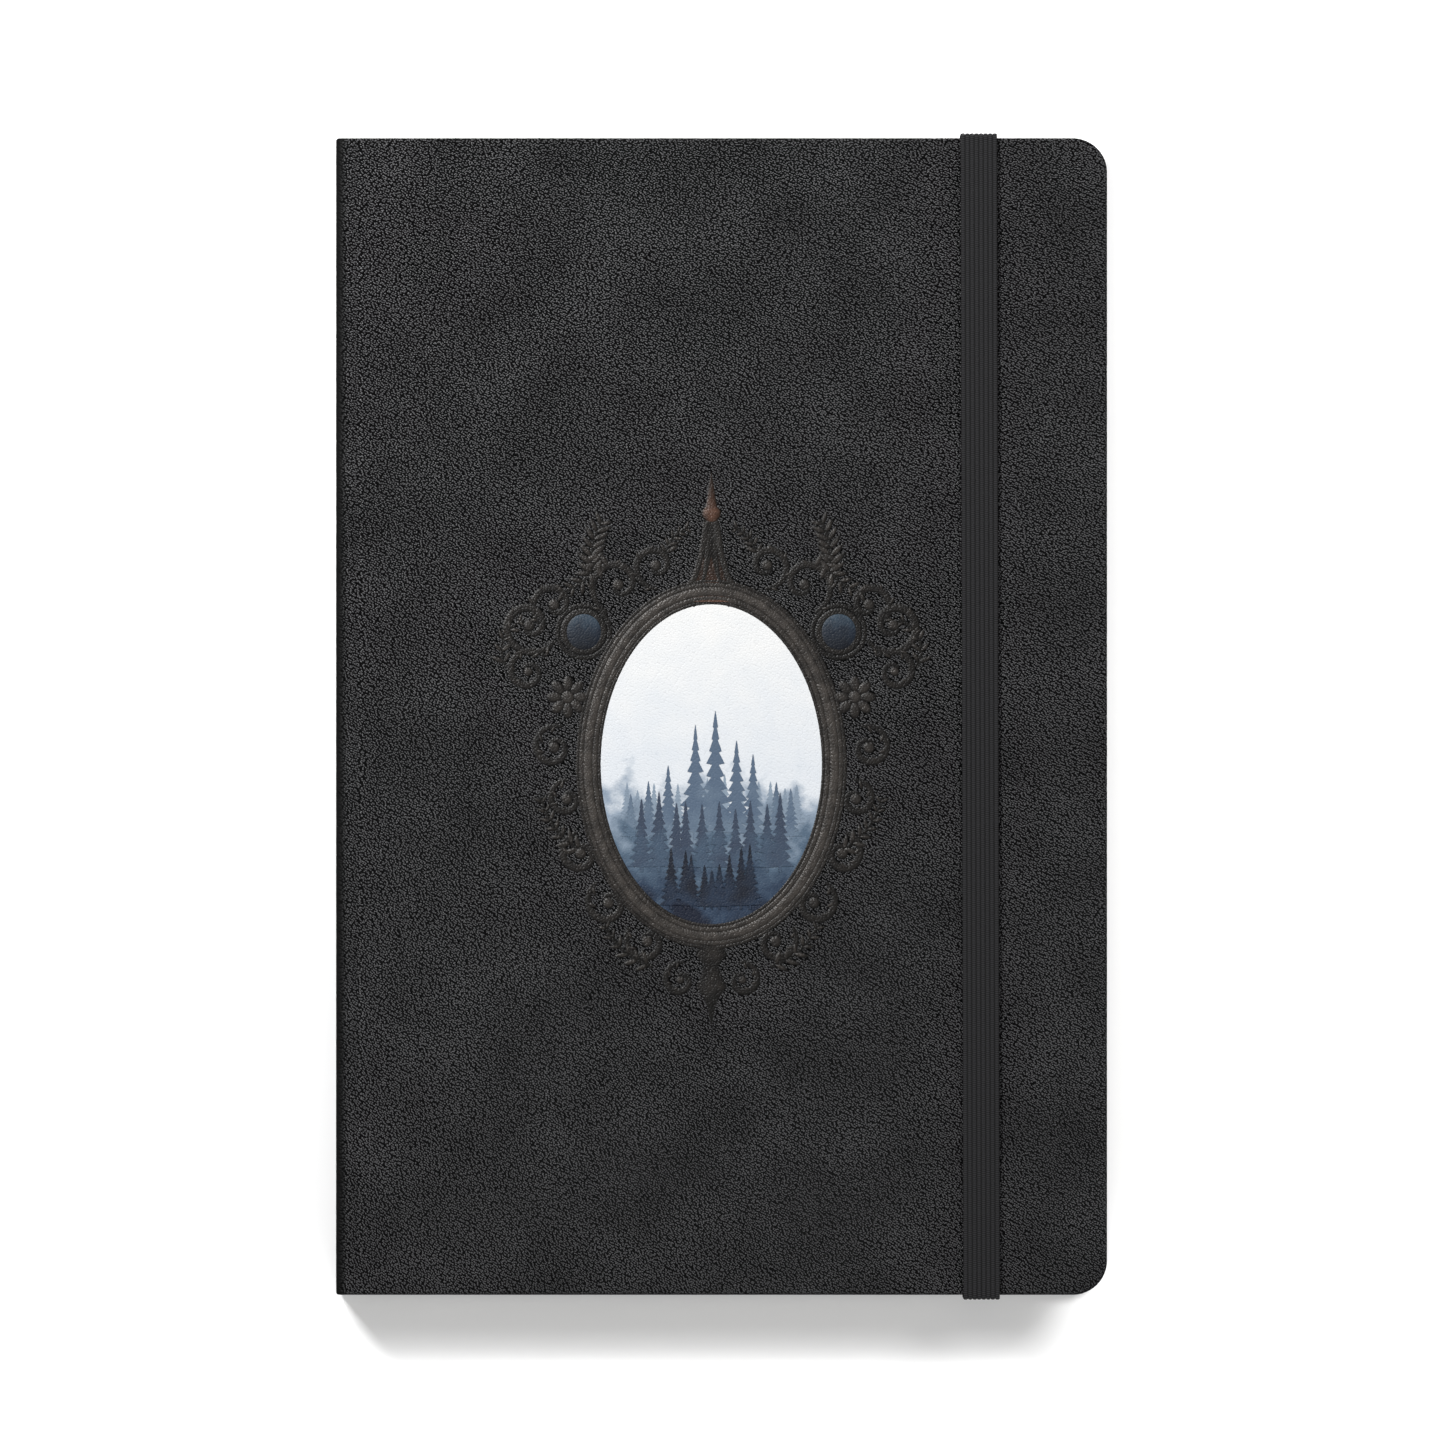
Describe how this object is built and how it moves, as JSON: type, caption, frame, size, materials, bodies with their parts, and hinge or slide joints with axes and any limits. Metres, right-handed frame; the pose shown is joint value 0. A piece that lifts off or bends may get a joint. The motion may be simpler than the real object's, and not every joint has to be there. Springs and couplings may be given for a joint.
{
  "type": "sketchbook",
  "caption": "Hardback sketchbook with sewn leaves, a hinged case that opens flat and an elastic closing band round the front.",
  "frame": {"origin": "middle of the back cover's outer face, on which the closed book lies", "axes": "+X from the spine to the fore-edge, +Y to the head of the book, +Z from the back cover to the front cover"},
  "size_m": [0.144, 0.2178, 0.0161],
  "materials": {
    "leatherette": "fine pebbled grain, satin black",
    "greyboard": "bare grey binder's board",
    "endpaper": "smooth uncoated cream paper",
    "drawing_paper": "light-toothed uncoated drawing paper",
    "kraft": "brown kraft lining paper",
    "gauze": "open-weave starched cotton",
    "thread": "waxed linen thread",
    "headband": "black and grey striped cotton band",
    "elastic": "matte black ribbed woven elastic",
    "print_pale": "pale mist and slate printed film",
    "print_dark": "dark pewter and bronze printed film"
  },
  "bodies": {
    "back_half": {"back_covering": "leatherette", "back_board": "greyboard", "back_pastedown": "endpaper", "elastic_tab_head": "elastic", "elastic_tab_tail": "elastic", "back_flyleaf": "endpaper", "section_01": "drawing_paper", "section_02": "drawing_paper", "section_03": "drawing_paper", "section_04": "drawing_paper", "section_05": "drawing_paper"},
    "spine": {"spine_covering": "leatherette", "spine_stiffener": "greyboard", "spine_lining": "kraft", "mull": "gauze", "sewing_thread": "thread", "head_band": "headband", "tail_band": "headband"},
    "front_leaves": {"section_06": "drawing_paper", "section_07": "drawing_paper", "section_08": "drawing_paper", "section_09": "drawing_paper", "section_10": "drawing_paper", "front_flyleaf": "endpaper", "front_hinge_strip": "leatherette"},
    "front_cover": {"front_covering": "leatherette", "front_board": "greyboard", "front_pastedown": "endpaper", "cover_print_window": "print_pale", "cover_print_frame": "print_dark"},
    "band": {"elastic_band": "elastic"}
  },
  "joints": [
    {"name": "book_opening", "type": "hinge", "parent": "back_half", "child": "spine", "pos_m": [-0.0714, 0, 0.0006], "axis": [0, -1, 0], "range_deg": [0, 90]},
    {"name": "front_leaves_turn", "type": "hinge", "parent": "spine", "child": "front_leaves", "pos_m": [-0.0714, 0, 0.0146], "axis": [0, -1, 0], "range_deg": [0, 90]},
    {"name": "front_cover_hinge", "type": "hinge", "parent": "front_leaves", "child": "front_cover", "pos_m": [-0.06753, 0, 0.0157], "axis": [0, -1, 0], "range_deg": [0, 180]},
    {"name": "elastic_release", "type": "hinge", "parent": "back_half", "child": "band", "pos_m": [0.0483, 0, 0.0076], "axis": [0, 1, 0], "range_deg": [0, 180], "deforming": ["elastic_band"]}
  ],
  "couplings": [
    {"joint": "front_leaves_turn", "follows": "book_opening", "ratio": 1}
  ]
}
